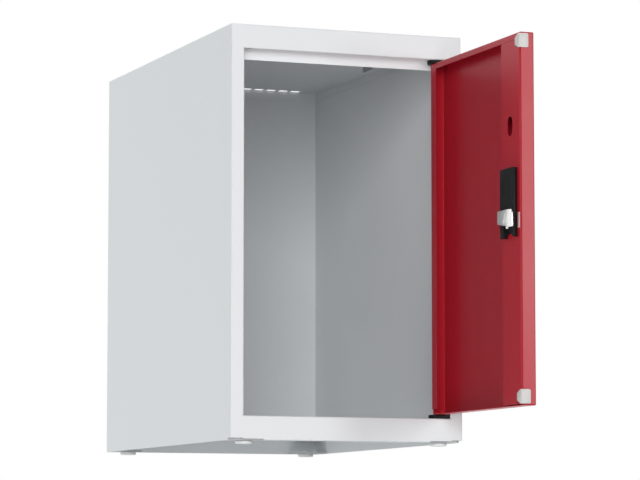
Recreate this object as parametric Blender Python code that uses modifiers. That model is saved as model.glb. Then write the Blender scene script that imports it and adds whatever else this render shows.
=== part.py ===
"""Locker top cabinet: a welded sheet-steel carcass with one hinged, lockable door, shown standing open.

Metres, +Z up. The door is on the -Y side and swings out about a vertical pin at the right front corner.
The origin lies on the ground, under the middle of the cabinet with its door open.
"""

import math

import bmesh
import bpy
from mathutils import Matrix, Vector

# Carcass
WIDTH = 0.300
DEPTH = 0.500
HEIGHT = 0.500
SHEET = 0.001
BEND_RADIUS = 0.0015
BEND_STEPS = 2
GAP = 0.0003
STILE_FACE = 0.0163
TOP_RAIL = 0.029
BOTTOM_RAIL = 0.029
STOP_LIP = 0.011
STOP_CLEARANCE = 0.0002
REAR_FLANGE = 0.015
WELD_FLAP = 0.012
FLAP_RELIEF = 0.010
PLINTH_RETURN = 0.012

# Vent slots at the back of the roof
VENT_PITCH = 0.0176
VENT_LENGTH = 0.0135
VENT_DEPTH = 0.013
VENT_MARGIN = 0.024
VENT_FROM_FLAP = 0.003

# Tab under the roof
LUG_FROM_RIGHT = 0.0343
LUG_FROM_FRONT = 0.208
LUG_LENGTH = 0.031
LUG_DROP = 0.009
LUG_FOOT = 0.012

# Feet
FOOT_PLATE = 0.042
FOOT_PLATE_THICKNESS = 0.0022
FOOT_PLATE_CHAMFER = 0.005
FOOT_PLATE_SETBACK = 0.004
FOOT_NOTCH = 0.012
PAD_DIAMETER = 0.0205
PAD_HEIGHT = 0.004
PAD_FROM_SIDE = 0.0235
PAD_FROM_END = 0.021
PAD_ROUNDING = 0.0006
PEG_DIAMETER = 0.008
PEG_BARB = 0.0006
PEG_TIP = 0.0024
PEG_CLEARANCE = 0.0003

# Door
DOOR_THICKNESS = 0.018
LOCK_SIDE_GAP = 0.0027
HINGE_SIDE_GAP = 0.0023
END_GAP = 0.005
OPEN_ANGLE = math.radians(90)
HINGE_LIP = 0.016
TOP_LIP = 0.0073
LIP_RELIEF = 0.0065
NICK_FROM_HINGE = 0.094
NICK_DIAMETER = 0.004
CHANNEL_FACE = 0.0535
CHANNEL_LEG = 0.012
CHANNEL_FOOT = 0.010
HAND_SLOT_WIDTH = 0.014
HAND_SLOT_HEIGHT = 0.023
HAND_SLOT_FROM_EDGE = 0.029
HAND_SLOT_ABOVE_LOCK = 0.109

# Hinge
PIVOT_INSET = 0.005
PIN_DIAMETER = 0.005
PIN_REACH = 0.0085
PIN_ROUNDING = 0.0005
PIN_CLEARANCE = 0.0002
COLLAR_HEIGHT = 0.003
BEARING_LENGTH = 0.0235
BEARING_NOSE = 0.008
BEARING_SETBACK = 0.0006
BOSS_DIAMETER = 0.0068
BOSS_REACH = 0.004

# Corner buffers
BUFFER_FACE = 0.0105
BUFFER_EDGE = 0.0102
BUFFER_HEIGHT = 0.0165
BUFFER_THICKNESS = 0.0015
BUFFER_FROM_END = 0.002
BUFFER_CUT_LENGTH = 0.009
BUFFER_CUT_HEIGHT = 0.0042

# Lock
LOCK_FROM_EDGE = 0.028
CASE_FROM_EDGE = 0.0095
CASE_WIDTH = 0.036
CASE_PLATE = 0.001
CASE_HEIGHT = 0.0058
CASE_LEG = 0.0097
CASE_WALL = 0.0016
CASE_ROUNDING = 0.001
CASE_ABOVE = 0.059
CASE_BELOW = 0.0215
CASE_NOTCH_HEIGHT = 0.0045
PAD_STRIP_WIDTH = 0.0055
PAD_STRIP_HEIGHT = 0.018
PAD_STRIP_THICKNESS = 0.0008
PAD_STRIP_FROM_EDGE = 0.0015
PAD_STRIP_DROP = 0.0028
BOLT_TRAVEL = 0.017
BOLT_PLAY = 0.0009
HEAD_FROM_EDGE = 0.0085
HEAD_LENGTH = 0.034
HEAD_HEIGHT = 0.020
HEAD_TAIL_RISE = 0.005
HEAD_THICKNESS = 0.0042
HEAD_NOSE = 0.006
HEAD_TIP = 0.001
NOSE_STEP = 0.0028
NOSE_DROP = 0.003
NUB_DIAMETER = 0.0036
NUB_DROP = 0.002
NUB_FROM_NOSE = 0.0105
NECK_LENGTH = 0.010
NECK_HEIGHT = 0.008
NECK_SETBACK = 0.001
NECK_CLEARANCE = 0.0004
DRIVE_WIDTH = 0.015
DRIVE_ABOVE = 0.007
DRIVE_EDGE = 0.0025
DRIVE_THICKNESS = 0.0035
DRIVE_DROP = 0.0005
CRANK_SWING = math.radians(90)
CRANK_THICKNESS = 0.0025
CRANK_HUB = 0.014
CRANK_PIN = 0.004
CRANK_SLOT_CLEARANCE = 0.0005
ROSETTE_DIAMETER = 0.028
ROSETTE_THICKNESS = 0.0025
ROSETTE_CHAMFER = 0.001
SLEEVE_DIAMETER = 0.018
PLUG_DIAMETER = 0.011
PLUG_CLEARANCE = 0.0002
KEYWAY_WIDTH = 0.002
KEYWAY_HEIGHT = 0.007
KEYWAY_DEPTH = 0.006
NUT_SIDES = 6
NUT_ACROSS_FLATS = 0.024
NUT_THICKNESS = 0.004

# Fineness of round shapes, and the limits that tell flat from bent
ROUND_STEPS = 24
ROUND_END = 0.999
STRAIGHT_COSINE = -0.999
FLAT_ANGLE = 0.1
JOIN_DISTANCE = 0.000001
TURNED_JOIN_DISTANCE = 0.00001

# Places that follow from the sizes
DOOR_WIDTH = WIDTH - 2 * STILE_FACE - LOCK_SIDE_GAP - HINGE_SIDE_GAP
DOOR_HEIGHT = HEIGHT - TOP_RAIL - BOTTOM_RAIL - 2 * END_GAP
PIVOT_X = WIDTH - STILE_FACE - HINGE_SIDE_GAP - PIVOT_INSET
PIVOT_Y = PIVOT_INSET
BACK_FRONT = DEPTH - SHEET - GAP - SHEET
FLAP_BACK = BACK_FRONT - GAP
RAIL_START = STILE_FACE - BEND_RADIUS + GAP
BUFFER_PROUD = GAP + BUFFER_THICKNESS
RAIL_RETURN = DOOR_THICKNESS + BUFFER_PROUD + STOP_CLEARANCE
STILE_DEPTH = DOOR_THICKNESS + 2 * GAP + CASE_HEIGHT - BOLT_PLAY
BEARING_WIDTH = RAIL_RETURN - BEND_RADIUS - BEARING_SETBACK
COLLAR_DIAMETER = 2 * (PIVOT_INSET - SHEET - GAP)
DOOR_REACH = DOOR_WIDTH - PIVOT_INSET - PIVOT_Y + BUFFER_PROUD
CRANK_RADIUS = BOLT_TRAVEL / (2 * math.sin(CRANK_SWING / 2))
DRIVE_BELOW = CRANK_RADIUS + CRANK_PIN / 2 + CRANK_SLOT_CLEARANCE + DRIVE_EDGE
CUT_PAST = 2 * SHEET

for leftover in list(bpy.data.objects):
    bpy.data.objects.remove(leftover, do_unlink=True)
cabinet = bpy.data.collections.new("locker_top_cabinet")
cutters = bpy.data.collections.new("cutters")
for collection in (cabinet, cutters):
    bpy.context.scene.collection.children.link(collection)


def finish(name, colour, roughness, metallic=0.0):
    """A plain material in the colour of one finish."""
    material = bpy.data.materials.new(name)
    material.use_nodes = True
    shader = material.node_tree.nodes["Principled BSDF"]
    shader.inputs["Base Color"].default_value = (*colour, 1.0)
    shader.inputs["Roughness"].default_value = roughness
    shader.inputs["Metallic"].default_value = metallic
    return material


def frame(name, parent, location, rotation=(0.0, 0.0, 0.0)):
    """An empty that carries a group of pieces."""
    empty = bpy.data.objects.new(name, None)
    cabinet.objects.link(empty)
    empty.parent = parent
    empty.location = location
    empty.rotation_euler = rotation
    return empty


def piece(name, mesh, material, parent, location=(0.0, 0.0, 0.0)):
    """One named sub-part with its material."""
    mesh.name = name
    mesh.materials.append(material)
    part = bpy.data.objects.new(name, mesh)
    cabinet.objects.link(part)
    part.parent = parent
    part.location = location
    return part


def combine(part, tool, operation="DIFFERENCE"):
    """Cut a tool away from a part, or join it on."""
    cutters.objects.link(tool)
    tool.parent = part.parent
    tool.hide_render = True
    tool.display_type = "WIRE"
    boolean = part.modifiers.new(operation.lower(), "BOOLEAN")
    boolean.operation = operation
    boolean.object = tool


def mesh_from(bm, name):
    """Finish a working mesh."""
    mesh = bpy.data.meshes.new(name)
    bm.to_mesh(mesh)
    bm.free()
    return mesh


def box_mesh(name, spans):
    """Boxes, each given by its lowest and highest corner."""
    bm = bmesh.new()
    for low, high in spans:
        low = Vector(low)
        high = Vector(high)
        size = Matrix.Diagonal((*(high - low), 1.0))
        bmesh.ops.create_cube(bm, size=1.0, matrix=Matrix.Translation((low + high) / 2) @ size)
    return mesh_from(bm, name)


def boxes(name, spans):
    """A tool made of boxes."""
    return bpy.data.objects.new(name, box_mesh(name, spans))


def rods(name, diameter, ends):
    """A tool made of round rods, each given by the middles of its two ends."""
    bm = bmesh.new()
    for start, end in ends:
        start = Vector(start)
        along = Vector(end) - start
        turn = along.to_track_quat("Z", "Y").to_matrix().to_4x4()
        bmesh.ops.create_cone(
            bm, cap_ends=True, segments=ROUND_STEPS, radius1=diameter / 2, radius2=diameter / 2,
            depth=along.length, matrix=Matrix.Translation(start + along / 2) @ turn)
    return bpy.data.objects.new(name, mesh_from(bm, name))


def rounded(before, corner, after, radius, steps):
    """The arc that replaces a corner between two straight runs, or the corner itself on a straight run."""
    corner = Vector(corner)
    back = (Vector(before) - corner).normalized()
    ahead = (Vector(after) - corner).normalized()
    if radius == 0 or back.dot(ahead) < STRAIGHT_COSINE:
        return [corner]
    half = back.angle(ahead) / 2
    middle = corner + (back + ahead).normalized() * radius / math.sin(half)
    first = corner + back * radius / math.tan(half) - middle
    last = corner + ahead * radius / math.tan(half) - middle
    turn = -first.angle_signed(last)
    return [middle + Matrix.Rotation(turn * step / steps, 2) @ first for step in range(steps + 1)]


def folded(name, corners, place, stations, outward, thickness, material, parent, trim=None, flap=None):
    """A sheet folded along a profile and cut to length, given by its outer face.

    place(a, b, run) puts a profile point at a station, outward is the first strip's outer direction, trim
    picks the strips that are cut away, and flap turns sheet edges that it picks by a vector.
    """
    profile = [Vector(corners[0])]
    for before, corner, after in zip(corners, corners[1:], corners[2:]):
        profile += rounded(before, corner, after, BEND_RADIUS, BEND_STEPS)
    profile.append(Vector(corners[-1]))
    bm = bmesh.new()
    row = [bm.verts.new(place(a, b, stations[0])) for a, b in profile]
    edges = [bm.edges.new(pair) for pair in zip(row, row[1:])]
    for here, there in zip(stations, stations[1:]):
        grown = bmesh.ops.extrude_edge_only(bm, edges=edges)["geom"]
        far = [item for item in grown if isinstance(item, bmesh.types.BMVert)]
        step = Vector(place(0, 0, there)) - Vector(place(0, 0, here))
        bmesh.ops.translate(bm, verts=far, vec=step)
        edges = [item for item in grown if isinstance(item, bmesh.types.BMEdge)
                 and all(vert in far for vert in item.verts)]
    bmesh.ops.recalc_face_normals(bm, faces=bm.faces)
    if row[0].link_faces[0].normal.dot(Vector(outward)) < 0:
        bmesh.ops.reverse_faces(bm, faces=bm.faces)
    if trim:
        waste = [face for face in bm.faces if trim(face.calc_center_median())]
        bmesh.ops.delete(bm, geom=waste, context="FACES")
    if flap:
        picks, turn = flap
        rims = [edge for edge in bm.edges if edge.is_boundary
                and picks((edge.verts[0].co + edge.verts[1].co) / 2)]
        grown = bmesh.ops.extrude_edge_only(bm, edges=rims)["geom"]
        far = [item for item in grown if isinstance(item, bmesh.types.BMVert)]
        bmesh.ops.translate(bm, verts=far, vec=turn)
    part = piece(name, mesh_from(bm, name), material, parent)
    wall = part.modifiers.new("sheet", "SOLIDIFY")
    wall.thickness = thickness
    wall.offset = -1.0
    wall.use_even_offset = True
    return part


def outline(corners, radii, steps):
    """A closed outline with rounded corners."""
    points = []
    for index, corner in enumerate(corners):
        after = corners[(index + 1) % len(corners)]
        points += rounded(corners[index - 1], corner, after, radii[index], steps)
    return points


def plate_mesh(name, outlines, thickness):
    """A flat plate of the outlines, with its middle at height 0; an inner outline is a hole."""
    curve = bpy.data.curves.new(name, "CURVE")
    curve.dimensions = "2D"
    curve.fill_mode = "BOTH"
    curve.extrude = thickness / 2
    for points in outlines:
        spline = curve.splines.new("POLY")
        spline.points.add(len(points) - 1)
        for point, (x, y) in zip(spline.points, points):
            point.co = (x, y, 0.0, 1.0)
        spline.use_cyclic_u = True
    holder = bpy.data.objects.new(name, curve)
    bpy.context.scene.collection.objects.link(holder)
    evaluated = holder.evaluated_get(bpy.context.evaluated_depsgraph_get())
    mesh = bpy.data.meshes.new_from_object(evaluated)
    bpy.data.objects.remove(holder)
    bpy.data.curves.remove(curve)
    bm = bmesh.new()
    bm.from_mesh(mesh)
    bmesh.ops.remove_doubles(bm, verts=bm.verts, dist=JOIN_DISTANCE)
    bm.to_mesh(mesh)
    bm.free()
    return mesh


def obround(length_x, length_y, middle):
    """Outline of a slot with round ends."""
    half_x = length_x / 2
    half_y = length_y / 2
    corners = [(-half_x, -half_y), (half_x, -half_y), (half_x, half_y), (-half_x, half_y)]
    radius = min(half_x, half_y) * ROUND_END
    return [point + Vector(middle) for point in outline(corners, [radius] * 4, ROUND_STEPS // 4)]


def circle(diameter, middle, steps=ROUND_STEPS):
    """Outline of a round hole or hub."""
    turns = [2 * math.pi * step / steps for step in range(steps)]
    return [Vector(middle) + Vector((math.cos(turn), math.sin(turn))) * diameter / 2 for turn in turns]


def turned(name, profile, material, parent, location=(0.0, 0.0, 0.0)):
    """A round piece from its half profile, listed from top to bottom along its outer side."""
    bm = bmesh.new()
    verts = [bm.verts.new((radius, 0.0, height)) for radius, height in profile]
    for pair in zip(verts, verts[1:]):
        bm.edges.new(pair)
    part = piece(name, mesh_from(bm, name), material, parent, location)
    screw = part.modifiers.new("turned", "SCREW")
    screw.steps = ROUND_STEPS
    screw.render_steps = ROUND_STEPS
    screw.use_merge_vertices = True
    screw.merge_threshold = TURNED_JOIN_DISTANCE
    screw.use_smooth_shade = True
    return part


grey_paint = finish("grey_paint", (0.70, 0.71, 0.72), 0.45)
red_paint = finish("red_paint", (0.30, 0.012, 0.022), 0.40)
black_plastic = finish("black_plastic", (0.012, 0.012, 0.012), 0.50)
pale_plastic = finish("pale_plastic", (0.66, 0.65, 0.62), 0.50)
zinc = finish("zinc", (0.62, 0.62, 0.60), 0.30, 1.0)
bright_steel = finish("bright_steel", (0.56, 0.57, 0.58), 0.28, 1.0)

ground = frame("cabinet_frame", None, (-WIDTH / 2, (DOOR_REACH - DEPTH) / 2, PAD_HEIGHT))
door = frame("door_pivot", ground, (PIVOT_X, PIVOT_Y, BOTTOM_RAIL + END_GAP), (0.0, 0.0, OPEN_ANGLE))


# Side panels: wall, rear flange and box-section stile folded from one sheet
def side_panel(name, hand):
    """hand is 0 for the left side and 1 for the right."""
    corners = [
        (REAR_FLANGE, DEPTH), (0.0, DEPTH), (0.0, FOOT_NOTCH), (0.0, 0.0), (STILE_FACE, 0.0),
        (STILE_FACE, STILE_DEPTH), (SHEET + BEND_RADIUS, STILE_DEPTH)]
    notch_top = FOOT_PLATE_THICKNESS + GAP
    stile_bottom = BOTTOM_RAIL + GAP
    stile_top = HEIGHT - TOP_RAIL - GAP

    def place(a, b, run):
        return (WIDTH - a if hand else a, b, run)

    def trim(middle):
        across = WIDTH - middle.x if hand else middle.x
        front = middle.y < STILE_DEPTH + BEND_RADIUS
        box = front and across > SHEET and (across > STILE_FACE - BEND_RADIUS or middle.y > BEND_RADIUS)
        beside_rail = box and not stile_bottom < middle.z < stile_top
        return beside_rail or (middle.z < notch_top and middle.y < FOOT_NOTCH)

    stations = [0.0, notch_top, stile_bottom, stile_top, HEIGHT]
    return folded(name, corners, place, stations, (0, 1, 0), SHEET, grey_paint, ground, trim)


side_panel("left_side_panel", 0)
side_panel("right_side_panel", 1)

# Back panel: a flat sheet against the rear flanges
back_mesh = box_mesh("back_panel", [(
    (SHEET + GAP, BACK_FRONT, 0.0), (WIDTH - SHEET - GAP, BACK_FRONT + SHEET, HEIGHT))])
piece("back_panel", back_mesh, grey_paint, ground)


# Roof and floor: trays whose front edge is folded into a rail
def tray(name, corners, stations, trim):
    """stations are cuts in from either side, and trim picks the strips that are cut away there."""

    def place(a, b, run):
        return (run, a, b)

    def side_edge(middle):
        inside = flap_start < middle.y < FLAP_BACK - FLAP_RELIEF
        return inside and not stations[0] + GAP < middle.x < WIDTH - stations[0] - GAP

    both_sides = stations + [WIDTH - station for station in reversed(stations)]
    flap = (side_edge, (0.0, 0.0, -WELD_FLAP))
    return folded(name, corners, place, both_sides, (0, 1, 0), SHEET, grey_paint, ground, trim, flap)


def beyond(middle, station):
    """True outside a cut from either side."""
    return not station < middle.x < WIDTH - station


flap_start = STILE_DEPTH + FLAP_RELIEF
rail_edge = HEIGHT - TOP_RAIL
stop_start = STILE_FACE + GAP
return_start = FOOT_PLATE + GAP


def roof_waste(middle):
    rail = middle.y < BEND_RADIUS or (middle.y < flap_start and middle.z < HEIGHT - BEND_RADIUS)
    stop = middle.y < flap_start and middle.z < rail_edge
    return (rail and beyond(middle, RAIL_START)) or (stop and beyond(middle, stop_start))


def floor_waste(middle):
    rail = middle.y < BEND_RADIUS
    plinth_return = middle.y < flap_start and middle.z < BEND_RADIUS
    return (rail and beyond(middle, RAIL_START)) or (plinth_return and beyond(middle, return_start))


roof_profile = [
    (FLAP_BACK, HEIGHT - WELD_FLAP), (FLAP_BACK, HEIGHT), (FLAP_BACK - FLAP_RELIEF, HEIGHT),
    (flap_start, HEIGHT), (0.0, HEIGHT), (0.0, rail_edge), (RAIL_RETURN, rail_edge),
    (RAIL_RETURN, rail_edge - STOP_LIP)]
roof = tray("roof_panel", roof_profile, [SHEET + GAP, RAIL_START, stop_start], roof_waste)
floor_profile = [
    (FLAP_BACK, BOTTOM_RAIL - WELD_FLAP), (FLAP_BACK, BOTTOM_RAIL), (FLAP_BACK - FLAP_RELIEF, BOTTOM_RAIL),
    (flap_start, BOTTOM_RAIL), (0.0, BOTTOM_RAIL), (0.0, 0.0), (PLINTH_RETURN, 0.0)]
floor = tray("floor_panel", floor_profile, [SHEET + GAP, RAIL_START, return_start], floor_waste)

# Vent slots across the back of the roof, and the bearing holes at both ends of the rails
vent_count = int((WIDTH - 2 * VENT_MARGIN - VENT_LENGTH) / VENT_PITCH) + 1
vent_back = FLAP_BACK - VENT_FROM_FLAP
vents = []
for index in range(vent_count):
    middle = WIDTH / 2 + (index - (vent_count - 1) / 2) * VENT_PITCH
    vents.append((
        (middle - VENT_LENGTH / 2, vent_back - VENT_DEPTH, HEIGHT - CUT_PAST),
        (middle + VENT_LENGTH / 2, vent_back, HEIGHT + CUT_PAST)))
combine(roof, boxes("vent_cutter", vents))
bearing_hole = BOSS_DIAMETER + 2 * PIN_CLEARANCE
for tray_part, level in ((roof, rail_edge), (floor, BOTTOM_RAIL)):
    holes = []
    for x in (PIVOT_X, WIDTH - PIVOT_X):
        holes.append(((x, PIVOT_Y, level - CUT_PAST), (x, PIVOT_Y, level + CUT_PAST)))
    combine(tray_part, rods("bearing_hole_cutter", bearing_hole, holes))

# Tab under the roof
lug_x = WIDTH - LUG_FROM_RIGHT
lug_top = HEIGHT - SHEET - GAP
folded(
    "ceiling_lug", [(lug_x + LUG_FOOT, lug_top), (lug_x, lug_top), (lug_x, lug_top - LUG_DROP)],
    lambda a, b, run: (a, run, b), [LUG_FROM_FRONT, LUG_FROM_FRONT + LUG_LENGTH], (0, 0, 1), SHEET,
    grey_paint, ground)

# Feet: a plate in each bottom corner and a push-in pad under it
pad_top = -GAP
peg_top = FOOT_PLATE_THICKNESS + GAP
pad_profile = [
    (0.0, peg_top + PEG_TIP), (PEG_DIAMETER / 2 - PEG_BARB, peg_top + PEG_TIP),
    (PEG_DIAMETER / 2 + PEG_BARB, peg_top), (PEG_DIAMETER / 2, peg_top), (PEG_DIAMETER / 2, pad_top),
    (PAD_DIAMETER / 2, pad_top), (PAD_DIAMETER / 2, PAD_ROUNDING - PAD_HEIGHT),
    (PAD_DIAMETER / 2 - PAD_ROUNDING, -PAD_HEIGHT), (0.0, -PAD_HEIGHT)]
inner_side = SHEET + GAP
for end, y_sign in (("front", 1), ("rear", -1)):
    for side, x_sign in (("left", 1), ("right", -1)):
        corner = Vector((0.0 if x_sign > 0 else WIDTH, 0.0 if y_sign > 0 else BACK_FRONT + SHEET))
        near = FOOT_PLATE_SETBACK
        shape = [
            (inner_side, near + FOOT_PLATE_CHAMFER), (inner_side + FOOT_PLATE_CHAMFER, near), (FOOT_PLATE, near),
            (FOOT_PLATE, PAD_FROM_END), (PAD_FROM_SIDE, FOOT_PLATE), (inner_side, FOOT_PLATE)]
        turn = Vector((x_sign, y_sign))
        rim = [corner + Vector(point) * turn for point in shape]
        foot = corner + Vector((PAD_FROM_SIDE, PAD_FROM_END)) * turn
        hole = circle(PEG_DIAMETER + 2 * PEG_CLEARANCE, foot)
        mesh = plate_mesh("foot_plate", [rim, hole], FOOT_PLATE_THICKNESS)
        middle = (0.0, 0.0, FOOT_PLATE_THICKNESS / 2)
        piece("foot_plate_%s_%s" % (end, side), mesh, grey_paint, ground, middle)
        turned("foot_pad_%s_%s" % (end, side), pad_profile, pale_plastic, ground, (*foot, 0.0))

# Hinge bearings: a plate with a boss that passes through the rail, bored for the pin
bearing_thickness = END_GAP - 2 * GAP
bearing_right = WIDTH - STILE_FACE - GAP
bearing_left = bearing_right - BEARING_LENGTH
bearing_corners = [
    (bearing_left, BEARING_SETBACK), (bearing_right, BEARING_SETBACK),
    (bearing_right, BEARING_SETBACK + BEARING_WIDTH), (bearing_left, BEARING_SETBACK + BEARING_WIDTH)]
nose_radius = min(BEARING_NOSE, ROUND_END * BEARING_WIDTH / 2)
for name, level, up in (("lower_bearing", BOTTOM_RAIL, 1), ("upper_bearing", rail_edge, -1)):
    shape = outline(bearing_corners, [nose_radius, 0.0, 0.0, nose_radius], ROUND_STEPS // 4)
    middle = level + up * (GAP + bearing_thickness / 2)
    mesh = plate_mesh(name, [shape], bearing_thickness)
    bearing = piece(name, mesh, black_plastic, ground, (0.0, 0.0, middle))
    boss_end = level - up * (SHEET + BOSS_REACH)
    boss = ((PIVOT_X, PIVOT_Y, middle), (PIVOT_X, PIVOT_Y, boss_end))
    combine(bearing, rods("boss", BOSS_DIAMETER, [boss]), "UNION")
    bore = ((PIVOT_X, PIVOT_Y, middle + up * END_GAP), (PIVOT_X, PIVOT_Y, boss_end - up * GAP))
    combine(bearing, rods("bore", PIN_DIAMETER + 2 * PIN_CLEARANCE, [bore]))

# Door skin: a tray with return lips on top and on the hinge side, measured from the pivot with the door shut
hinge_edge = PIVOT_INSET
free_edge = PIVOT_INSET - DOOR_WIDTH
outer_face = -PIVOT_INSET
inner_face = DOOR_THICKNESS - PIVOT_INSET
lip_x = hinge_edge - HINGE_LIP
lip_high = DOOR_HEIGHT - TOP_LIP
stub_high = LIP_RELIEF / 2

bm = bmesh.new()
size = Matrix.Diagonal((DOOR_WIDTH, DOOR_THICKNESS, DOOR_HEIGHT, 1.0))
centre = ((hinge_edge + free_edge) / 2, (outer_face + inner_face) / 2, DOOR_HEIGHT / 2)
bmesh.ops.create_cube(bm, size=1.0, matrix=Matrix.Translation(centre) @ size)
lip_edges = [((lip_x, 0, 0), (1, 0, 0)), ((0, 0, stub_high), (0, 0, 1)), ((0, 0, lip_high), (0, 0, 1))]
for point, normal in lip_edges:
    geometry = bm.verts[:] + bm.edges[:] + bm.faces[:]
    bmesh.ops.bisect_plane(bm, geom=geometry, plane_co=point, plane_no=normal)
mouth = []
for face in bm.faces:
    middle = face.calc_center_median()
    if face.normal.y > 1 - FLAT_ANGLE and middle.x < lip_x and stub_high < middle.z < lip_high:
        mouth.append(face)
bmesh.ops.delete(bm, geom=mouth, context="FACES")
flat_seams = [edge for edge in bm.edges if len(edge.link_faces) == 2 and edge.calc_face_angle() < FLAT_ANGLE]
bmesh.ops.dissolve_edges(bm, edges=flat_seams, use_verts=False)
folds = [edge for edge in bm.edges if len(edge.link_faces) == 2]
bmesh.ops.bevel(bm, geom=folds, offset=BEND_RADIUS, segments=BEND_STEPS, profile=0.5, affect="EDGES")
skin = piece("door_skin", mesh_from(bm, "door_skin"), red_paint, door)
wall = skin.modifiers.new("sheet", "SOLIDIFY")
wall.thickness = SHEET
wall.offset = -1.0
wall.use_even_offset = True
pin_hole = PIN_DIAMETER + 2 * PIN_CLEARANCE
combine(skin, rods("pin_holes", pin_hole, [
    ((0, 0, -CUT_PAST), (0, 0, CUT_PAST)),
    ((0, 0, DOOR_HEIGHT - CUT_PAST), (0, 0, DOOR_HEIGHT + CUT_PAST))]))
# The bottom flange has no lip: the stub is cut off, and the hinge lip ends at the same level
combine(skin, boxes("stub_cutter", [(
    (free_edge - CUT_PAST, inner_face - BEND_RADIUS - GAP, -CUT_PAST),
    (hinge_edge + CUT_PAST, inner_face + CUT_PAST, LIP_RELIEF))]))
nick_x = hinge_edge - NICK_FROM_HINGE
combine(skin, rods("nick_cutter", NICK_DIAMETER, [
    ((nick_x, inner_face - CUT_PAST, lip_high), (nick_x, inner_face + CUT_PAST, lip_high))]))

# Lock channel: a stiffener from the bottom fold to the top lip, with its face flush with the lips
channel_edge = free_edge + SHEET + GAP
channel_back = free_edge + CHANNEL_FACE
foot_level = outer_face + SHEET + GAP + SHEET
channel_profile = [
    (channel_edge, inner_face - CHANNEL_LEG), (channel_edge, inner_face), (channel_back, inner_face),
    (channel_back, foot_level), (channel_back + CHANNEL_FOOT, foot_level)]
channel = folded(
    "lock_channel", channel_profile, lambda a, b, run: (a, b, run),
    [BEND_RADIUS + GAP, lip_high - GAP], (-1, 0, 0), SHEET, red_paint, door)

# Hinge pins: a collar inside the door and a shank that turns in the bearing, coated with the door
for name, level, up in (("lower_hinge_pin", 0.0, -1), ("upper_hinge_pin", DOOR_HEIGHT, 1)):
    collar_near = level - up * (SHEET + GAP)
    collar_far = collar_near - up * COLLAR_HEIGHT
    tip = level + up * PIN_REACH
    profile = [
        (0.0, collar_far), (COLLAR_DIAMETER / 2, collar_far), (COLLAR_DIAMETER / 2, collar_near),
        (PIN_DIAMETER / 2, collar_near), (PIN_DIAMETER / 2, tip - up * PIN_ROUNDING),
        (PIN_DIAMETER / 2 - PIN_ROUNDING, tip), (0.0, tip)]
    turned(name, profile if up < 0 else profile[::-1], red_paint, door)

# Corner buffers: pale caps round the inner corner of the free edge
buffer_face = inner_face + BUFFER_PROUD
buffer_edge = free_edge - BUFFER_PROUD
buffer_profile = [
    (free_edge + BUFFER_FACE, buffer_face), (buffer_edge, buffer_face),
    (buffer_edge, inner_face - BUFFER_EDGE)]
upper_start = DOOR_HEIGHT - BUFFER_FROM_END - BUFFER_HEIGHT
for name, start in (("lower_buffer", BUFFER_FROM_END), ("upper_buffer", upper_start)):
    buffer = folded(
        name, buffer_profile, lambda a, b, run: (a, b, run), [start, start + BUFFER_HEIGHT], (0, 1, 0),
        BUFFER_THICKNESS, pale_plastic, door)
    bm = bmesh.new()
    bm.from_mesh(buffer.data)
    for level, up in ((start, -1), (start + BUFFER_HEIGHT, 1)):
        bmesh.ops.bisect_plane(
            bm, geom=bm.verts[:] + bm.edges[:] + bm.faces[:], clear_outer=True,
            plane_co=(free_edge + BUFFER_FACE, buffer_face, level - up * BUFFER_CUT_HEIGHT),
            plane_no=(BUFFER_CUT_HEIGHT, 0.0, up * BUFFER_CUT_LENGTH))
    bm.to_mesh(buffer.data)
    bm.free()

# Lock axis: X to the hinge, Y up, Z out of the door's front, from the inner face
lock_height = DOOR_HEIGHT / 2
axis_x = free_edge + LOCK_FROM_EDGE
upright = (math.radians(90), 0.0, 0.0)
lock = frame("lock_axis", door, (axis_x, inner_face, lock_height), upright)
case_left = free_edge + CASE_FROM_EDGE
case_right = case_left + CASE_WIDTH
case_low = lock_height - CASE_BELOW
case_high = lock_height + CASE_ABOVE
case_base = inner_face + GAP
plate_top = case_base + CASE_PLATE
case_top = case_base + CASE_HEIGHT

# Lock case: a flat box, open below the bolt between a leg and a thin wall, notched at its foot
case_shape = [(case_left, case_base), (case_right, case_base), (case_right, case_top), (case_left, case_top)]
case_radii = [0.0, 0.0, CASE_ROUNDING, CASE_ROUNDING]
case_mesh = plate_mesh("lock_case", [outline(case_shape, case_radii, BEND_STEPS)], case_high - case_low)
case = piece("lock_case", case_mesh, black_plastic, door, (0.0, 0.0, (case_low + case_high) / 2))
neck_right = free_edge + HEAD_FROM_EDGE + HEAD_LENGTH - NECK_SETBACK
neck_left = neck_right - NECK_LENGTH
slot_low = lock_height - NECK_HEIGHT / 2 - NECK_CLEARANCE
slot_high = lock_height + NECK_HEIGHT / 2 + NECK_CLEARANCE
slot_left = neck_left - BOLT_TRAVEL - NECK_CLEARANCE
slot_right = neck_right + NECK_CLEARANCE
combine(case, boxes("neck_slot", [(
    (slot_left, inner_face - CUT_PAST, slot_low), (slot_right, case_top + CUT_PAST, slot_high))]))
hollow_left = case_left + CASE_WALL
hollow_right = case_right - CASE_LEG
combine(case, boxes("case_hollow", [(
    (hollow_left, plate_top, case_low - CUT_PAST), (hollow_right, case_top + CUT_PAST, lock_height))]))
combine(case, boxes("case_notch", [(
    (hollow_left, inner_face - CUT_PAST, case_low - CUT_PAST),
    (hollow_right, case_top + CUT_PAST, case_low + CASE_NOTCH_HEIGHT))]))

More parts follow.
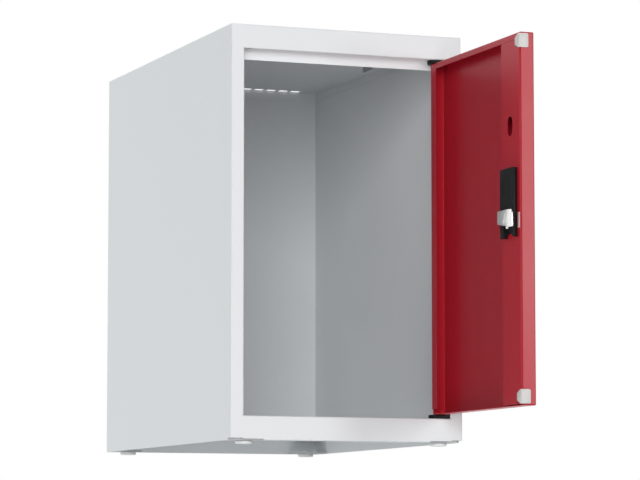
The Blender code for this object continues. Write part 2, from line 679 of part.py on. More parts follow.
# Glide pad on the corner in front of the bolt
pad_x = free_edge + PAD_STRIP_FROM_EDGE
pad_face = case_base + PAD_STRIP_THICKNESS
pad_shape = [
    (pad_x, case_base), (pad_x + PAD_STRIP_WIDTH, case_base), (pad_x + PAD_STRIP_WIDTH, pad_face),
    (pad_x, pad_face)]
pad_radii = [0.0, 0.0, PAD_STRIP_THICKNESS / 2, PAD_STRIP_THICKNESS / 2]
pad_mesh = plate_mesh("bolt_pad", [outline(pad_shape, pad_radii, BEND_STEPS)], PAD_STRIP_HEIGHT)
piece("bolt_pad", pad_mesh, pale_plastic, door, (0.0, 0.0, lock_height - PAD_STRIP_DROP))

# Bolt: head over the case, neck through the slot, drive plate behind the channel face
drive_near = SHEET + DRIVE_DROP
drive_far = drive_near + DRIVE_THICKNESS
crank_sine = CRANK_RADIUS * math.sin(CRANK_SWING / 2)
crank_cosine = CRANK_RADIUS * math.cos(CRANK_SWING / 2)
slot_top = -crank_cosine + CRANK_PIN / 2 + CRANK_SLOT_CLEARANCE
slot_bottom = -CRANK_RADIUS - CRANK_PIN / 2 - CRANK_SLOT_CLEARANCE
drive_left = crank_sine - DRIVE_WIDTH / 2
drive_right = crank_sine + DRIVE_WIDTH / 2
drive_shape = [
    (drive_left, -DRIVE_BELOW), (drive_right, -DRIVE_BELOW), (drive_right, DRIVE_ABOVE),
    (drive_left, DRIVE_ABOVE)]
drive_rim = outline(drive_shape, [BEND_RADIUS] * len(drive_shape), BEND_STEPS)
drive_slot = obround(
    CRANK_PIN + 2 * CRANK_SLOT_CLEARANCE, slot_top - slot_bottom, (crank_sine, (slot_top + slot_bottom) / 2))
drive_mesh = plate_mesh("bolt", [drive_rim, drive_slot], DRIVE_THICKNESS)
bolt = piece("bolt", drive_mesh, zinc, lock, (0.0, 0.0, (drive_near + drive_far) / 2))
nose_x = free_edge + HEAD_FROM_EDGE - axis_x
tail_x = nose_x + HEAD_LENGTH
head_half = HEAD_HEIGHT / 2
head_back = inner_face - case_top - GAP
head_front = head_back - HEAD_THICKNESS
head_middle = (head_back + head_front) / 2
head_shape = [
    (nose_x, -head_half), (nose_x + HEAD_NOSE, -head_half), (tail_x, HEAD_TAIL_RISE - head_half),
    (tail_x, head_half), (nose_x + NOSE_STEP, head_half), (nose_x + NOSE_STEP, head_half - NOSE_DROP),
    (nose_x, head_half - NOSE_DROP)]
head = bpy.data.objects.new("bolt_head", plate_mesh("bolt_head", [head_shape], HEAD_THICKNESS))
head.location = (0.0, 0.0, head_middle)
bm = bmesh.new()
bm.from_mesh(head.data)
ramp = bmesh.ops.bisect_plane(
    bm, geom=bm.verts[:] + bm.edges[:] + bm.faces[:], plane_co=(nose_x + HEAD_NOSE, 0.0, -HEAD_THICKNESS / 2),
    plane_no=(HEAD_TIP - HEAD_THICKNESS, 0.0, -HEAD_NOSE), clear_outer=True)["geom_cut"]
bmesh.ops.edgeloop_fill(bm, edges=[item for item in ramp if isinstance(item, bmesh.types.BMEdge)])
bmesh.ops.recalc_face_normals(bm, faces=bm.faces)
bm.to_mesh(head.data)
bm.free()
combine(bolt, head, "UNION")
neck = boxes("bolt_neck", [(
    (neck_left - axis_x, -NECK_HEIGHT / 2, head_middle),
    (neck_right - axis_x, NECK_HEIGHT / 2, drive_near + DRIVE_THICKNESS / 2))])
combine(bolt, neck, "UNION")
nub_x = nose_x + NUB_FROM_NOSE
combine(bolt, rods("bolt_nub", NUB_DIAMETER, [
    ((nub_x, 0.0, head_middle), (nub_x, -head_half - NUB_DROP, head_middle))]), "UNION")

# Cylinder lock: housing with rosette, nut, plug with keyway, and the crank on the plug
front = DOOR_THICKNESS
rosette_back = front + GAP
rosette_front = rosette_back + ROSETTE_THICKNESS
crank_near = drive_far + GAP
crank_far = crank_near + CRANK_THICKNESS
sleeve_end = crank_far + GAP
bore = PLUG_DIAMETER / 2 + PLUG_CLEARANCE
turned("cylinder_housing", [
    (bore, sleeve_end), (bore, rosette_front), (ROSETTE_DIAMETER / 2 - ROSETTE_CHAMFER, rosette_front),
    (ROSETTE_DIAMETER / 2, rosette_front - ROSETTE_CHAMFER), (ROSETTE_DIAMETER / 2, rosette_back),
    (SLEEVE_DIAMETER / 2, rosette_back), (SLEEVE_DIAMETER / 2, sleeve_end), (bore, sleeve_end)],
    bright_steel, lock)
sleeve_hole = SLEEVE_DIAMETER + 2 * PLUG_CLEARANCE
combine(skin, rods("sleeve_hole", sleeve_hole, [
    ((axis_x, outer_face - CUT_PAST, lock_height), (axis_x, outer_face + CUT_PAST, lock_height))]))
nut_far = front - SHEET - GAP
nut_rim = circle(NUT_ACROSS_FLATS / math.cos(math.pi / NUT_SIDES), (0, 0), NUT_SIDES)
nut_mesh = plate_mesh("cylinder_nut", [nut_rim, circle(sleeve_hole, (0, 0))], NUT_THICKNESS)
piece("cylinder_nut", nut_mesh, bright_steel, lock, (0.0, 0.0, nut_far - NUT_THICKNESS / 2))
plug_axis = frame("plug_axis", lock, (0.0, 0.0, 0.0))
plug = turned("cylinder_plug", [
    (0.0, rosette_front), (PLUG_DIAMETER / 2, rosette_front), (PLUG_DIAMETER / 2, sleeve_end),
    (0.0, sleeve_end)], bright_steel, plug_axis)
combine(plug, boxes("keyway", [(
    (-KEYWAY_WIDTH / 2, -KEYWAY_HEIGHT / 2, rosette_front - KEYWAY_DEPTH),
    (KEYWAY_WIDTH / 2, KEYWAY_HEIGHT / 2, rosette_front + CUT_PAST))]))
crank_tip = Vector((crank_sine, -crank_cosine))
crank_middle = (0.0, 0.0, (crank_near + crank_far) / 2)
hub_mesh = plate_mesh("drive_crank", [circle(CRANK_HUB, (0, 0))], CRANK_THICKNESS)
crank = piece("drive_crank", hub_mesh, zinc, plug_axis, crank_middle)
arm_rim = obround(CRANK_RADIUS + 2 * CRANK_PIN, 2 * CRANK_PIN, (CRANK_RADIUS / 2, 0))
arm_tool = bpy.data.objects.new("crank_arm", plate_mesh("crank_arm", [arm_rim], CRANK_THICKNESS))
arm_tool.location = crank_middle
arm_tool.rotation_euler = (0.0, 0.0, math.atan2(crank_tip.y, crank_tip.x))
combine(crank, arm_tool, "UNION")
combine(crank, rods("crank_pin", CRANK_PIN, [
    ((*crank_tip, drive_near), (*crank_tip, crank_near + CRANK_THICKNESS / 2))]), "UNION")

# Openings in the channel: the way for the bolt, and the obround slot above the lock
window = boxes("bolt_window", [(
    (slot_left, inner_face - CUT_PAST, lock_height - DRIVE_BELOW),
    (slot_right, inner_face + CUT_PAST, slot_high))])
combine(channel, window)
slot_mesh = plate_mesh("hand_slot", [obround(HAND_SLOT_WIDTH, HAND_SLOT_HEIGHT, (0, 0))], 2 * CUT_PAST)
slot_tool = bpy.data.objects.new("hand_slot", slot_mesh)
slot_tool.location = (free_edge + HAND_SLOT_FROM_EDGE, inner_face, lock_height + HAND_SLOT_ABOVE_LOCK)
slot_tool.rotation_euler = upright
combine(channel, slot_tool)
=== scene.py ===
"""Looks of a locker top cabinet: grey powder-coated carcass with a red door that stands open.

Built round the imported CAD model, in metres, +Z up, with the door on the -Y side.
"""

import math

import bmesh
import bpy
from mathutils import Matrix, Vector


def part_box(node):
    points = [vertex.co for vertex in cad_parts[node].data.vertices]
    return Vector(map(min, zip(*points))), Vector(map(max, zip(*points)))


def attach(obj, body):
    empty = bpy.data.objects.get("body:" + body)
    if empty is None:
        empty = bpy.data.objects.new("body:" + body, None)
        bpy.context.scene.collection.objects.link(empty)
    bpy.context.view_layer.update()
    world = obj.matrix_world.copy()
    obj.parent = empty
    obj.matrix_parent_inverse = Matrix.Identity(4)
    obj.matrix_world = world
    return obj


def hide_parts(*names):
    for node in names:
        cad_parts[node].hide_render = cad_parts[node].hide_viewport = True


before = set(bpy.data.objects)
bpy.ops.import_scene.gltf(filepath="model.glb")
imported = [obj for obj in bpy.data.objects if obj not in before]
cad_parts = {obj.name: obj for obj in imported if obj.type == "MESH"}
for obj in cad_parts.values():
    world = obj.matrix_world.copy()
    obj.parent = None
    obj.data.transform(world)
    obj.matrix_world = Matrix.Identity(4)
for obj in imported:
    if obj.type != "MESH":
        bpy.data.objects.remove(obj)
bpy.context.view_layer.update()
scene = bpy.context.scene

# Carcass sheets. The walls, roof and floor are folded from 1 mm steel and spot welded, then powder
# coated light grey as one, which leaves a faint orange peel and a satin gloss.
GREY = (0.80, 0.83, 0.845)
MOTTLE_DETAIL = 3.0
GRAIN_DETAIL = 2.0
NOISE_MIDDLE = 0.5
GLOSS_SPREAD = 0.08


def fine_grain_group():
    """Fine grain and slow mottling of a coated, moulded or cast surface, sized in metres."""
    group = bpy.data.node_groups.new("fine_grain", "ShaderNodeTree")
    for label in ("Grain size", "Mottle size", "Mottle share", "Gloss", "Gloss spread"):
        group.interface.new_socket(label, in_out="INPUT", socket_type="NodeSocketFloat")
    for label in ("Tone", "Roughness", "Height"):
        group.interface.new_socket(label, in_out="OUTPUT", socket_type="NodeSocketFloat")
    nodes, links = group.nodes, group.links
    given = nodes.new("NodeGroupInput")
    result = nodes.new("NodeGroupOutput")
    place = nodes.new("ShaderNodeTexCoord")

    def noise(size, detail):
        """Noise whose lumps are as large as the named input."""
        per_metre = nodes.new("ShaderNodeMath")
        per_metre.operation = "DIVIDE"
        per_metre.inputs[0].default_value = 1.0
        links.new(given.outputs[size], per_metre.inputs[1])
        texture = nodes.new("ShaderNodeTexNoise")
        texture.inputs["Detail"].default_value = detail
        links.new(place.outputs["Object"], texture.inputs["Vector"])
        links.new(per_metre.outputs[0], texture.inputs["Scale"])
        return texture.outputs["Fac"]

    def varied(value, share):
        """A node that adds the named share of a noise's swing to its third input."""
        swing = nodes.new("ShaderNodeMath")
        swing.operation = "SUBTRACT"
        links.new(value, swing.inputs[0])
        swing.inputs[1].default_value = NOISE_MIDDLE
        added = nodes.new("ShaderNodeMath")
        added.operation = "MULTIPLY_ADD"
        links.new(swing.outputs[0], added.inputs[0])
        links.new(given.outputs[share], added.inputs[1])
        return added

    mottle = noise("Mottle size", MOTTLE_DETAIL)
    tone = varied(mottle, "Mottle share")
    tone.inputs[2].default_value = 1.0
    links.new(tone.outputs[0], result.inputs["Tone"])
    roughness = varied(mottle, "Gloss spread")
    links.new(given.outputs["Gloss"], roughness.inputs[2])
    links.new(roughness.outputs[0], result.inputs["Roughness"])
    links.new(noise("Grain size", GRAIN_DETAIL), result.inputs["Height"])
    return group


fine_grain = fine_grain_group()


def grained(name, colour, gloss, grain_size, grain_depth, mottle_size, mottle_share,
            metallic=0.0, sheen=0.5):
    """A finish of one colour with the grain of its process; sheen is its clear reflection."""
    material = bpy.data.materials.new(name)
    material.use_nodes = True
    nodes, links = material.node_tree.nodes, material.node_tree.links
    shader = nodes["Principled BSDF"]
    shader.inputs["Metallic"].default_value = metallic
    shader.inputs["Specular IOR Level"].default_value = sheen
    grain = nodes.new("ShaderNodeGroup")
    grain.node_tree = fine_grain
    grain.inputs["Grain size"].default_value = grain_size
    grain.inputs["Mottle size"].default_value = mottle_size
    grain.inputs["Mottle share"].default_value = mottle_share
    grain.inputs["Gloss"].default_value = gloss
    grain.inputs["Gloss spread"].default_value = GLOSS_SPREAD
    tint = nodes.new("ShaderNodeMix")
    tint.data_type = "RGBA"
    tint.blend_type = "MULTIPLY"
    tint.inputs["Factor"].default_value = 1.0
    tint.inputs["A"].default_value = (*colour, 1.0)
    links.new(grain.outputs["Tone"], tint.inputs["B"])
    links.new(tint.outputs["Result"], shader.inputs["Base Color"])
    links.new(grain.outputs["Roughness"], shader.inputs["Roughness"])
    bump = nodes.new("ShaderNodeBump")
    bump.inputs["Distance"].default_value = grain_depth
    bump.inputs["Strength"].default_value = 1.0
    links.new(grain.outputs["Height"], bump.inputs["Height"])
    links.new(bump.outputs["Normal"], shader.inputs["Normal"])
    return material


def finish_nodes(material, *names):
    """Give CAD nodes that keep their shape a finish."""
    for name in names:
        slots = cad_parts[name].data.materials
        slots.clear()
        slots.append(material)


grey_coat = grained(
    "grey_powder_coat", GREY, gloss=0.45, grain_size=0.004, grain_depth=0.00002,
    mottle_size=0.12, mottle_share=0.03, sheen=0.3)
finish_nodes(
    grey_coat, "left_side_panel", "right_side_panel", "back_panel", "roof_panel", "floor_panel")

# Weld seams. The rails are welded in between the stiles and the seams ground flush before coating,
# so the joints of the separate sheets are filled with strips of the same coated steel.
SEAM_FROM_SIDE = 0.0148
SEAM_WIDTH = 0.0003
SEAM_DEPTH = 0.001
RAIL_HEIGHT = 0.029
RAIL_BEND = 0.0015
FOOT_NOTCH_TOP = 0.0025
carcass_low, carcass_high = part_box("left_side_panel")
right_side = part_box("right_side_panel")[1].x


def new_piece(name, bm, material):
    """A finished mesh as an object of the scene."""
    mesh = bpy.data.meshes.new(name)
    bm.to_mesh(mesh)
    bm.free()
    mesh.materials.append(material)
    made = bpy.data.objects.new(name, mesh)
    scene.collection.objects.link(made)
    return made


bm = bmesh.new()
seam_y = carcass_low.y + SEAM_DEPTH / 2
seam_spans = (
    (carcass_low.z + FOOT_NOTCH_TOP, carcass_low.z + RAIL_HEIGHT),
    (carcass_high.z - RAIL_HEIGHT, carcass_high.z - RAIL_BEND))
for outer, inward in ((carcass_low.x, 1), (right_side, -1)):
    seam_x = outer + inward * (SEAM_FROM_SIDE + SEAM_WIDTH / 2)
    for low, high in seam_spans:
        middle = Matrix.Translation((seam_x, seam_y, (low + high) / 2))
        size = Matrix.Diagonal((SEAM_WIDTH, SEAM_DEPTH, high - low, 1.0))
        bmesh.ops.create_cube(bm, size=1.0, matrix=middle @ size)
weld_seams = new_piece("weld_seams", bm, grey_coat)
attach(weld_seams, "carcass")

# Corner plates and ceiling lug. Small blanks of sheet steel, spot welded into the corners under the
# floor and behind the top rail. Their grey is the carcass coat made darker as painted shade, for
# the shadow that falls on them under the stiles and behind the rail.
# Darker greys: painted shade under the stiles and behind the top rail.
PLATE_SHADE_GREY = (0.55, 0.565, 0.575)
LUG_SHADE_GREY = (0.40, 0.415, 0.425)
plate_shade_coat, lug_shade_coat = (
    grained(
        name, colour, gloss=0.55, grain_size=0.003, grain_depth=0.00002,
        mottle_size=0.05, mottle_share=0.06)
    for name, colour in (("plate_painted_shade_grey", PLATE_SHADE_GREY), ("lug_painted_shade_grey", LUG_SHADE_GREY)))
finish_nodes(
    plate_shade_coat, "foot_plate_front_left", "foot_plate_front_right", "foot_plate_rear_left",
    "foot_plate_rear_right")
finish_nodes(lug_shade_coat, "ceiling_lug")

# Feet. Four pale push-in pads moulded from soft polyethylene. Each has a dished sole and a barbed
# peg that snaps through the hole of its corner plate.
PAD_NODES = (
    "foot_pad_front_left", "foot_pad_front_right", "foot_pad_rear_left", "foot_pad_rear_right")
PAD_WHITE = (0.86, 0.87, 0.87)
PAD_RADIUS = 0.01025
PAD_HEIGHT = 0.0037
PAD_EDGE = 0.0008
PAD_EDGE_TURN = 0.00024
PAD_TOP_EDGE = 0.00032
PAD_DISH = 0.0004
PAD_DISH_RADIUS = 0.00615
PAD_RING_RADIUS = 0.007175
PEG_RADIUS = 0.004
PEG_BARB = 0.0006
PEG_TOP = 0.0085
PEG_SHOULDER = 0.0065
PAD_STEPS = 48
PAD_CREASE = math.radians(35)
SAME_POINT = 1e-6
white_moulding = grained(
    "white_moulding", PAD_WHITE, gloss=0.45, grain_size=0.0012, grain_depth=0.00001,
    mottle_size=0.02, mottle_share=0.04)

bm = bmesh.new()
pad_outline = (
    (0.0, PAD_DISH),
    (PAD_DISH_RADIUS, PAD_DISH),
    (PAD_RING_RADIUS, 0.0),
    (PAD_RADIUS - PAD_EDGE, 0.0),
    (PAD_RADIUS - PAD_EDGE_TURN, PAD_EDGE_TURN),
    (PAD_RADIUS, PAD_EDGE),
    (PAD_RADIUS, PAD_HEIGHT - PAD_TOP_EDGE),
    (PAD_RADIUS - PAD_TOP_EDGE, PAD_HEIGHT),
    (PEG_RADIUS, PAD_HEIGHT),
    (PEG_RADIUS, PEG_SHOULDER),
    (PEG_RADIUS + PEG_BARB, PEG_SHOULDER),
    (PEG_RADIUS - PEG_BARB, PEG_TOP),
    (0.0, PEG_TOP))
profile = [bm.verts.new((radius, 0.0, height)) for radius, height in pad_outline]
rim = [bm.edges.new(pair) for pair in zip(profile, profile[1:])]
bmesh.ops.spin(
    bm, geom=profile + rim, cent=(0, 0, 0), axis=(0, 0, 1), angle=2 * math.pi, steps=PAD_STEPS,
    use_merge=True)
bmesh.ops.remove_doubles(bm, verts=bm.verts, dist=SAME_POINT)
bmesh.ops.recalc_face_normals(bm, faces=bm.faces)
for face in bm.faces:
    face.smooth = True
pad_form = new_piece("pad_form", bm, white_moulding)
pad_form.data.set_sharp_from_angle(angle=PAD_CREASE)


def at_corners_group():
    """Stands a form on the four corners of a level rectangle."""
    group = bpy.data.node_groups.new("at_corners", "GeometryNodeTree")
    for label, kind in (
            ("Form", "NodeSocketObject"), ("Across", "NodeSocketFloat"),
            ("Along", "NodeSocketFloat"), ("Middle", "NodeSocketVector"),
            ("Material", "NodeSocketMaterial")):
        group.interface.new_socket(label, in_out="INPUT", socket_type=kind)
    group.interface.new_socket("Geometry", in_out="OUTPUT", socket_type="NodeSocketGeometry")
    nodes, links = group.nodes, group.links
    given = nodes.new("NodeGroupInput")
    corners = nodes.new("GeometryNodeMeshGrid")
    corners.inputs["Vertices X"].default_value = 2
    corners.inputs["Vertices Y"].default_value = 2
    links.new(given.outputs["Across"], corners.inputs["Size X"])
    links.new(given.outputs["Along"], corners.inputs["Size Y"])
    moved = nodes.new("GeometryNodeTransform")
    links.new(corners.outputs["Mesh"], moved.inputs["Geometry"])
    links.new(given.outputs["Middle"], moved.inputs["Translation"])
    form = nodes.new("GeometryNodeObjectInfo")
    links.new(given.outputs["Form"], form.inputs["Object"])
    stood = nodes.new("GeometryNodeInstanceOnPoints")
    links.new(moved.outputs["Geometry"], stood.inputs["Points"])
    links.new(form.outputs["Geometry"], stood.inputs["Instance"])
    real = nodes.new("GeometryNodeRealizeInstances")
    links.new(stood.outputs["Instances"], real.inputs["Geometry"])
    coloured = nodes.new("GeometryNodeSetMaterial")
    links.new(real.outputs["Geometry"], coloured.inputs["Geometry"])
    links.new(given.outputs["Material"], coloured.inputs["Material"])
    result = nodes.new("NodeGroupOutput")
    links.new(coloured.outputs["Geometry"], result.inputs["Geometry"])
    return group


def grown(name, group, values):
    """An object with the plain mesh that a tree makes from named inputs."""
    empty = bpy.data.meshes.new("empty")
    holder = bpy.data.objects.new(name, empty)
    scene.collection.objects.link(holder)
    tree = holder.modifiers.new("grown", "NODES")
    tree.node_group = group
    for item in group.interface.items_tree:
        if item.in_out == "INPUT":
            tree[item.identifier] = values[item.name]
    evaluated = holder.evaluated_get(bpy.context.evaluated_depsgraph_get())
    mesh = bpy.data.meshes.new_from_object(evaluated)
    holder.modifiers.remove(tree)
    holder.data = mesh
    bpy.data.meshes.remove(empty)
    return holder


pad_places = [(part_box(name)[0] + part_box(name)[1]) / 2 for name in PAD_NODES]
pads_low = Vector([min(place[axis] for place in pad_places) for axis in range(3)])
pads_high = Vector([max(place[axis] for place in pad_places) for axis in range(3)])
pads_middle = (pads_low + pads_high) / 2
foot_pads = grown("foot_pads", at_corners_group(), {
    "Form": pad_form,
    "Across": pads_high.x - pads_low.x,
    "Along": pads_high.y - pads_low.y,
    "Middle": (pads_middle.x, pads_middle.y, 0.0),
    "Material": white_moulding})
bpy.data.meshes.remove(pad_form.data)
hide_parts(*PAD_NODES)
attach(foot_pads, "carcass")

# Hinge bearings. Two black polyamide plates on the top and bottom rails, moulded with soft edges.
# The boss of each goes through its rail and takes a hinge pin of the door.
BLACK = (0.010, 0.0103, 0.0102)
MOULDED_EDGE = 0.0005
EDGE_STEPS = 2
ROUND_PROFILE = 0.5
FLAT_WITHIN = math.radians(2)
HARD_EDGE = math.radians(38)
SOFT_CREASE = math.radians(32)
black_moulding = grained(
    "black_moulding", BLACK, gloss=0.42, grain_size=0.0009, grain_depth=0.000012,
    mottle_size=0.02, mottle_share=0.15, sheen=0.13)


def merged(node):
    """A CAD node's shape with its loose triangles joined into flat faces."""
    bm = bmesh.new()
    bm.from_mesh(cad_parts[node].data)
    bmesh.ops.remove_doubles(bm, verts=bm.verts, dist=SAME_POINT)
    bmesh.ops.dissolve_limit(
        bm, angle_limit=FLAT_WITHIN, verts=bm.verts[:], edges=bm.edges[:])
    return bm


def softened(name, bm, node, body, material, edge):
    """A CAD node's shape with its hard edges rounded off, in the node's place."""
    hard = [
        item for item in bm.edges
        if len(item.link_faces) == 2 and item.calc_face_angle() > HARD_EDGE]
    bmesh.ops.bevel(
        bm, geom=hard, offset=edge, segments=EDGE_STEPS, profile=ROUND_PROFILE, affect="EDGES",
        clamp_overlap=True)
    bmesh.ops.remove_doubles(bm, verts=bm.verts[:], dist=SAME_POINT)
    for face in bm.faces:
        face.smooth = True
    made = new_piece(name, bm, material)
    made.data.set_sharp_from_angle(angle=SOFT_CREASE)
    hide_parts(node)
    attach(made, body)


for node in ("upper_bearing", "lower_bearing"):
    softened(
        f"{node}_moulding", merged(node), node, "carcass", black_moulding,
        MOULDED_EDGE)

# Door sheets. The skin is a folded tray and the channel a stiffener spot welded into it. They are
# coated ruby red together with the hinge pins, smoother and glossier than the carcass.
RED = (0.435, 0.0129, 0.0267)
red_coat = grained(
    "red_powder_coat", RED, gloss=0.33, grain_size=0.004, grain_depth=0.000012,
    mottle_size=0.12, mottle_share=0.04, sheen=0.33)
finish_nodes(red_coat, "door_skin", "lock_channel", "upper_hinge_pin", "lower_hinge_pin")

# Corner buffers. Pale soft mouldings clipped round the corners of the free edge, which meet the
# stile when the door shuts. Their ends on the edge have rounded corners.
PALE = (0.65, 0.64, 0.62)
BUFFER_EDGE = 0.0005
BUFFER_CORNER = 0.0018
BUFFER_CORNER_STEPS = 4
pale_moulding = grained(
    "pale_moulding", PALE, gloss=0.45, grain_size=0.0012, grain_depth=0.00001,
    mottle_size=0.02, mottle_share=0.04)


def rounded_end(node):
    """A buffer's shape with the two corners of its outer end rounded."""
    bm = merged(node)
    end_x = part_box(node)[1].x - BUFFER_EDGE
    corners = []
    for item in bm.edges:
        first, second = (vert.co for vert in item.verts)
        if min(first.x, second.x) > end_x and abs(first.z - second.z) < BUFFER_EDGE:
            corners.append(item)
    bmesh.ops.bevel(
        bm, geom=corners, offset=BUFFER_CORNER, segments=BUFFER_CORNER_STEPS,
        profile=ROUND_PROFILE, affect="EDGES")
    return bm


for node in ("upper_buffer", "lower_buffer"):
    softened(
        f"{node}_moulding", rounded_end(node), node, "door", pale_moulding,
        BUFFER_EDGE)

# Lock case. A black polyamide moulding on the channel, open below the bolt. Beside it a thin glide
# pad of pale nylon, pressed onto the channel's corner. Its base colour is tinted pink as a painted
# reflection of the red coat around it.
# Pale nylon with a pink tint that is painted reflection of the red door.
NYLON_RED_REFLECTION = (0.70, 0.43, 0.45)
CASE_EDGE = 0.0003
GLIDE_EDGE = 0.0002
nylon_red_reflection = grained(
    "nylon_red_reflection", NYLON_RED_REFLECTION, gloss=0.40, grain_size=0.0012, grain_depth=0.00001,
    mottle_size=0.02, mottle_share=0.04)
softened(
    "lock_case_moulding", merged("lock_case"), "lock_case", "door", black_moulding,
    CASE_EDGE)
softened(
    "bolt_pad_moulding", merged("bolt_pad"), "bolt_pad", "door", nylon_red_reflection,
    GLIDE_EDGE)

# Bolt and crank. Zinc die castings, tumbled and plated, satin rather than mirror bright. The bolt's
# head has a ramped nose with a chamfered foot, and behind it a hook notch with a slanted rear wall.
ZINC = (0.86, 0.86, 0.85)
CAST_EDGE = 0.0004
NOSE_RAMP = 0.006
CHAMFER_FROM_RAMP = 0.002
CHAMFER_NORMAL = (-0.72, -0.42, -0.55)
HEAD_FOOT = 0.007
FOOT_RISE = 0.00036
NOTCH_DEPTH = 0.003
NOTCH_AT_FOOT = 0.0125
NOTCH_AT_TOP = 0.006
NOTCH_MARGIN = 0.003
NOTCH_RISE = 0.0022
CUT_PAST = 0.0005
cast_zinc = grained(
    "cast_zinc", ZINC, gloss=0.30, grain_size=0.003, grain_depth=0.00002,
    mottle_size=0.006, mottle_share=0.10, metallic=0.8)


def carved(bm, corners):
    """A shape with the hull of some points cut out of it."""
    tool = bmesh.new()
    for corner in corners:
        tool.verts.new(corner)
    bmesh.ops.convex_hull(tool, input=tool.verts)
    cutter = new_piece("cutter", tool, cast_zinc)
    block = new_piece("block", bm, cast_zinc)
    cut = block.modifiers.new("cut", "BOOLEAN")
    cut.operation = "DIFFERENCE"
    cut.object = cutter
    cut.solver = "EXACT"
    result = bmesh.new()
    result.from_object(block, bpy.context.evaluated_depsgraph_get())
    bpy.data.meshes.remove(cutter.data)
    bpy.data.meshes.remove(block.data)
    return result


bolt_low, bolt_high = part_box("bolt")
face_x = bolt_low.x
ramp_y = bolt_low.y + NOSE_RAMP
foot_z = bolt_low.z + HEAD_FOOT
bolt_shape = merged("bolt")
chamfer = bmesh.ops.bisect_plane(
    bolt_shape, geom=bolt_shape.verts[:] + bolt_shape.edges[:] + bolt_shape.faces[:],
    plane_co=(face_x, ramp_y + CHAMFER_FROM_RAMP, foot_z + FOOT_RISE), plane_no=CHAMFER_NORMAL,
    clear_outer=True)["geom_cut"]
bmesh.ops.holes_fill(
    bolt_shape, edges=[item for item in chamfer if isinstance(item, bmesh.types.BMEdge)])
notch_low = foot_z + NOTCH_MARGIN
notch_high = bolt_high.z - NOTCH_MARGIN
notch_outline = (
    (ramp_y, notch_low),
    (ramp_y + NOTCH_AT_FOOT, notch_low + NOTCH_RISE),
    (ramp_y + NOTCH_AT_TOP, notch_high),
    (ramp_y, notch_high))
notch_walls = (face_x - CUT_PAST, face_x + NOTCH_DEPTH)
bolt_shape = carved(bolt_shape, [(x, y, z) for x in notch_walls for y, z in notch_outline])
softened("bolt_casting", bolt_shape, "bolt", "lock_bolt", cast_zinc, CAST_EDGE)
finish_nodes(cast_zinc, "drive_crank")

# Lock cylinder. A turned brass housing with its rosette on the door's outer face, the nut that
# clamps it from inside, and the plug that the key turns, all nickel plated.
NICKEL = (0.62, 0.61, 0.58)
nickel = grained(
    "nickel_plate", NICKEL, gloss=0.24, grain_size=0.002, grain_depth=0.000004,
    mottle_size=0.01, mottle_share=0.06, metallic=1.0)
finish_nodes(nickel, "cylinder_housing", "cylinder_nut", "cylinder_plug")

# Stage. A pale floor that fades into the white surround. It only shows from above, because the
# photograph's camera looks up from below it.
FLOOR_HALF = 4.0
FLOOR_SOLID = 0.9
FLOOR_END = 2.4
FLOOR_PALE = (0.9, 0.9, 0.9)
FLOOR_ROUGHNESS = 0.8
scene.view_settings.view_transform = "Standard"
bm = bmesh.new()
bmesh.ops.create_grid(bm, x_segments=1, y_segments=1, size=FLOOR_HALF)
floor_material = bpy.data.materials.new("stage_floor")
floor_material.use_nodes = True
nodes, links = floor_material.node_tree.nodes, floor_material.node_tree.links
pale = nodes["Principled BSDF"]
pale.inputs["Base Color"].default_value = (*FLOOR_PALE, 1.0)
pale.inputs["Roughness"].default_value = FLOOR_ROUGHNESS
clear = nodes.new("ShaderNodeBsdfTransparent")
path = nodes.new("ShaderNodeLightPath")
sides = nodes.new("ShaderNodeNewGeometry")
above = nodes.new("ShaderNodeMath")
above.operation = "SUBTRACT"
above.use_clamp = True
links.new(path.outputs["Is Camera Ray"], above.inputs[0])
links.new(sides.outputs["Backfacing"], above.inputs[1])
where = nodes.new("ShaderNodeTexCoord")
reach = nodes.new("ShaderNodeVectorMath")
reach.operation = "LENGTH"
links.new(where.outputs["Object"], reach.inputs[0])
fade = nodes.new("ShaderNodeMapRange")
fade.interpolation_type = "SMOOTHSTEP"
fade.inputs["From Min"].default_value = FLOOR_SOLID
fade.inputs["From Max"].default_value = FLOOR_END
fade.inputs["To Min"].default_value = 1.0
fade.inputs["To Max"].default_value = 0.0
links.new(reach.outputs["Value"], fade.inputs["Value"])
shown = nodes.new("ShaderNodeMath")
shown.operation = "MULTIPLY"
links.new(above.outputs[0], shown.inputs[0])
links.new(fade.outputs["Result"], shown.inputs[1])
choice = nodes.new("ShaderNodeMixShader")
links.new(shown.outputs[0], choice.inputs["Fac"])
links.new(clear.outputs[0], choice.inputs[1])
links.new(pale.outputs[0], choice.inputs[2])
links.new(choice.outputs[0], nodes["Material Output"].inputs["Surface"])
stage_floor = new_piece("stage_floor", bm, floor_material)

# Studio light. A dim even room, white only as background and in reflections, with a large soft box
# to the left behind the camera and smaller ones round the cabinet. Only the one at the right front
# is mirrored, which gives the door's free edge its pale veil.
ROOM_LIGHT = 0.15
WHITE_BACKGROUND = 1.0
LIGHT_AIM = Vector((0.0, -0.1, 0.25))
world = bpy.data.worlds.new("studio")
scene.world = world
world.use_nodes = True
nodes, links = world.node_tree.nodes, world.node_tree.links
path = nodes.new("ShaderNodeLightPath")
direct = nodes.new("ShaderNodeMath")
direct.operation = "MAXIMUM"
links.new(path.outputs["Is Camera Ray"], direct.inputs[0])
links.new(path.outputs["Is Transmission Ray"], direct.inputs[1])
seen = nodes.new("ShaderNodeMath")
seen.operation = "MAXIMUM"
links.new(direct.outputs[0], seen.inputs[0])
links.new(path.outputs["Is Glossy Ray"], seen.inputs[1])
level = nodes.new("ShaderNodeMix")
level.data_type = "FLOAT"
level.inputs["A"].default_value = ROOM_LIGHT
level.inputs["B"].default_value = WHITE_BACKGROUND
links.new(seen.outputs[0], level.inputs["Factor"])
nodes["Background"].inputs["Color"].default_value = (1.0, 1.0, 1.0, 1.0)
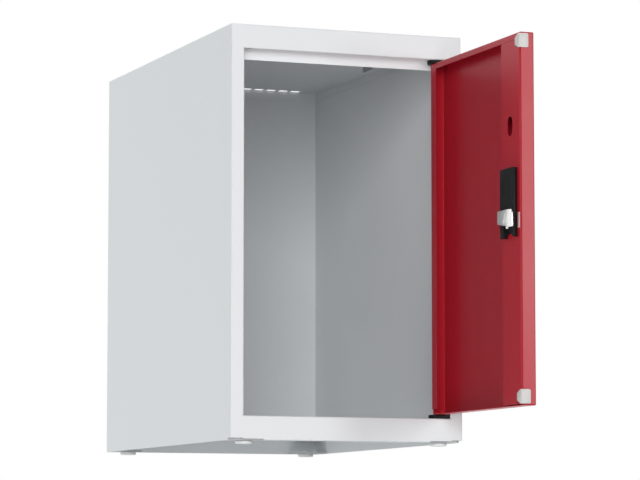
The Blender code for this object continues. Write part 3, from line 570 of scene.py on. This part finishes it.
links.new(level.outputs["Result"], nodes["Background"].inputs["Strength"])


def soft_box(name, direction, distance, width, height, radiance, mirrored=False):
    """An area lamp of even radiance that faces the cabinet; only a mirrored one glints."""
    lamp = bpy.data.lights.new(name, "AREA")
    lamp.shape = "RECTANGLE"
    lamp.size = width
    lamp.size_y = height
    lamp.energy = radiance * math.pi * width * height
    body = bpy.data.objects.new(name, lamp)
    outward = Vector(direction).normalized()
    body.location = LIGHT_AIM + outward * distance
    body.rotation_euler = (-outward).to_track_quat("-Z", "Y").to_euler()
    body.visible_camera = False
    body.visible_glossy = mirrored
    scene.collection.objects.link(body)


soft_box(
    "key_box", direction=(-0.40, -0.90, 0.15), distance=4.6, width=2.4, height=2.4, radiance=6.8)
soft_box(
    "right_front_box", direction=(0.42, -0.90, 0.107), distance=3.5, width=0.5, height=1.0,
    radiance=16.5, mirrored=True)
soft_box(
    "left_rear_box", direction=(-0.75, 0.60, 0.05), distance=3.5, width=2.0, height=2.0,
    radiance=3.4)
soft_box(
    "right_rear_box", direction=(0.85, 0.50, 0.25), distance=3.5, width=2.0, height=2.0,
    radiance=3.6)
soft_box(
    "top_box", direction=(0.10, 0.45, 1.00), distance=3.5, width=2.4, height=2.4, radiance=3.5)
soft_box(
    "floor_bounce", direction=(-0.36, -0.28, -0.89), distance=3.0, width=3.0, height=3.0,
    radiance=1.43)

# Camera. The photograph's own view: a long lens that looks up from below the floor's level, turned
# towards the cabinet's left front corner and pitched rather than shifted.
LENS = 172.644
SENSOR_WIDTH = 36.0
CAMERA_PLACE = (-1.36203, -3.56138, -0.12765)
CAMERA_RISE = math.radians(5.7887)
CAMERA_TURN = math.radians(-21.0799)
camera = bpy.data.cameras.new("camera")
camera.lens = LENS
camera.sensor_width = SENSOR_WIDTH
viewer = bpy.data.objects.new("camera", camera)
viewer.location = CAMERA_PLACE
viewer.rotation_euler = (math.pi / 2 + CAMERA_RISE, 0.0, CAMERA_TURN)
scene.collection.objects.link(viewer)
scene.camera = viewer
